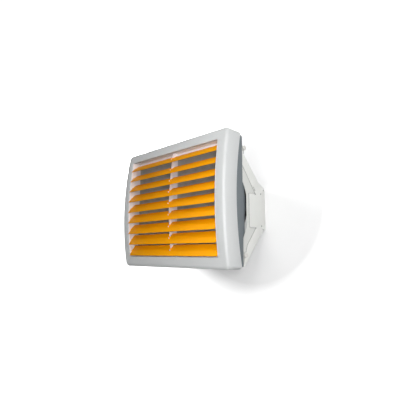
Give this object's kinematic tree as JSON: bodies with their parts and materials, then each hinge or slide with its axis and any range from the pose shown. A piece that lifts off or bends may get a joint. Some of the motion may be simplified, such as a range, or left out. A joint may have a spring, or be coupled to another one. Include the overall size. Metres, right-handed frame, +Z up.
{
  "type": "fan heater",
  "caption": "Water fed fan heater: bowed grey casing with pivoting orange louvre blades, finned coil, axial fan with guard, on a sheet steel mounting console.",
  "frame": {"origin": "on the plane that the console is fixed to, midway between the two fixing flanges and at the middle of their height", "axes": "+Y into the wall or ceiling the console is fixed to, so the outlet faces -Y; +X to the right as seen from the room; +Z up"},
  "size_m": [0.62, 0.3153, 0.53],
  "materials": {
    "light_grey_plastic": "moulded, fine texture",
    "blue_grey_plastic": "moulded, fine texture",
    "orange_plastic": "moulded, semi-gloss",
    "aluminium_fins": "rolled strip, dulled",
    "zinc_steel": "zinc plated",
    "copper_tube": "drawn tube",
    "brass_fitting": "turned",
    "black_plastic": "moulded",
    "black_paint": "satin paint",
    "white_steel": "powder coat",
    "white_plastic": "moulded"
  },
  "bodies": {
    "casing": {"front_shell": "light_grey_plastic", "rear_shell": "blue_grey_plastic", "shell_screw_1": "zinc_steel", "shell_screw_2": "zinc_steel", "shell_screw_3": "zinc_steel", "shell_screw_4": "zinc_steel", "louvre_rail_right": "light_grey_plastic", "louvre_rail_left": "light_grey_plastic", "outlet_liner_top": "light_grey_plastic", "outlet_liner_bottom": "light_grey_plastic", "centre_rib": "light_grey_plastic", "coil_fins": "aluminium_fins", "coil_side_plate_right": "zinc_steel", "coil_side_plate_left": "zinc_steel", "supply_header": "copper_tube", "return_header": "copper_tube", "drain_plug": "brass_fitting", "vent_plug": "brass_fitting", "return_bend_1": "copper_tube", "return_bend_2": "copper_tube", "return_bend_3": "copper_tube", "return_bend_4": "copper_tube", "motor_stator": "black_paint", "front_bearing": "zinc_steel", "rear_bearing": "zinc_steel", "fan_guard": "black_paint", "terminal_box": "black_plastic", "terminal_box_cover": "black_plastic", "cable_gland": "black_plastic", "console_cheek_right": "white_steel", "console_cheek_left": "white_steel", "threaded_bush_right_upper": "brass_fitting", "threaded_bush_right_lower": "brass_fitting", "threaded_bush_left_upper": "brass_fitting", "threaded_bush_left_lower": "brass_fitting", "wall_screw_right_upper": "zinc_steel", "wall_screw_right_lower": "zinc_steel", "wall_screw_left_upper": "zinc_steel", "wall_screw_left_lower": "zinc_steel"},
    "fan": {"fan_rotor": "black_plastic", "rotor_bell": "zinc_steel", "motor_shaft": "zinc_steel"},
    "blade_1": {"louvre_blade_1": "orange_plastic"},
    "blade_2": {"louvre_blade_2": "orange_plastic"},
    "blade_3": {"louvre_blade_3": "orange_plastic"},
    "blade_4": {"louvre_blade_4": "orange_plastic"},
    "blade_5": {"louvre_blade_5": "orange_plastic"},
    "blade_6": {"louvre_blade_6": "orange_plastic"},
    "blade_7": {"louvre_blade_7": "orange_plastic"},
    "blade_8": {"louvre_blade_8": "orange_plastic"},
    "blade_9": {"louvre_blade_9": "orange_plastic"},
    "knob_right_upper": {"clamp_knob_right_upper": "white_plastic"},
    "knob_right_lower": {"clamp_knob_right_lower": "white_plastic"},
    "knob_left_upper": {"clamp_knob_left_upper": "white_plastic"},
    "knob_left_lower": {"clamp_knob_left_lower": "white_plastic"}
  },
  "joints": [
    {"name": "fan_spin", "type": "hinge", "parent": "casing", "child": "fan", "pos_m": [0, -0.087, 0.022], "axis": [0, 1, 0], "continuous": true},
    {"name": "blade_1_tilt", "type": "hinge", "parent": "casing", "child": "blade_1", "pos_m": [0, -0.28365, 0.2154], "axis": [1, 0, 0], "range_deg": [-80, 15]},
    {"name": "blade_2_tilt", "type": "hinge", "parent": "casing", "child": "blade_2", "pos_m": [0, -0.28971, 0.16705], "axis": [1, 0, 0], "range_deg": [-80, 15]},
    {"name": "blade_3_tilt", "type": "hinge", "parent": "casing", "child": "blade_3", "pos_m": [0, -0.29404, 0.1187], "axis": [1, 0, 0], "range_deg": [-80, 15]},
    {"name": "blade_4_tilt", "type": "hinge", "parent": "casing", "child": "blade_4", "pos_m": [0, -0.29663, 0.07035], "axis": [1, 0, 0], "range_deg": [-80, 15]},
    {"name": "blade_5_tilt", "type": "hinge", "parent": "casing", "child": "blade_5", "pos_m": [0, -0.2975, 0.022], "axis": [1, 0, 0], "range_deg": [-80, 15]},
    {"name": "blade_6_tilt", "type": "hinge", "parent": "casing", "child": "blade_6", "pos_m": [0, -0.29663, -0.02635], "axis": [1, 0, 0], "range_deg": [-80, 15]},
    {"name": "blade_7_tilt", "type": "hinge", "parent": "casing", "child": "blade_7", "pos_m": [0, -0.29404, -0.0747], "axis": [1, 0, 0], "range_deg": [-80, 15]},
    {"name": "blade_8_tilt", "type": "hinge", "parent": "casing", "child": "blade_8", "pos_m": [0, -0.28971, -0.12305], "axis": [1, 0, 0], "range_deg": [-80, 15]},
    {"name": "blade_9_tilt", "type": "hinge", "parent": "casing", "child": "blade_9", "pos_m": [0, -0.28365, -0.1714], "axis": [1, 0, 0], "range_deg": [-80, 15]},
    {"name": "knob_right_upper_turn", "type": "hinge", "parent": "casing", "child": "knob_right_upper", "pos_m": [0.285, -0.159, 0.234], "axis": [1, 0, 0], "continuous": true},
    {"name": "knob_right_lower_turn", "type": "hinge", "parent": "casing", "child": "knob_right_lower", "pos_m": [0.285, -0.159, -0.19], "axis": [1, 0, 0], "continuous": true},
    {"name": "knob_left_upper_turn", "type": "hinge", "parent": "casing", "child": "knob_left_upper", "pos_m": [-0.285, -0.159, 0.234], "axis": [1, 0, 0], "continuous": true},
    {"name": "knob_left_lower_turn", "type": "hinge", "parent": "casing", "child": "knob_left_lower", "pos_m": [-0.285, -0.159, -0.19], "axis": [1, 0, 0], "continuous": true}
  ]
}
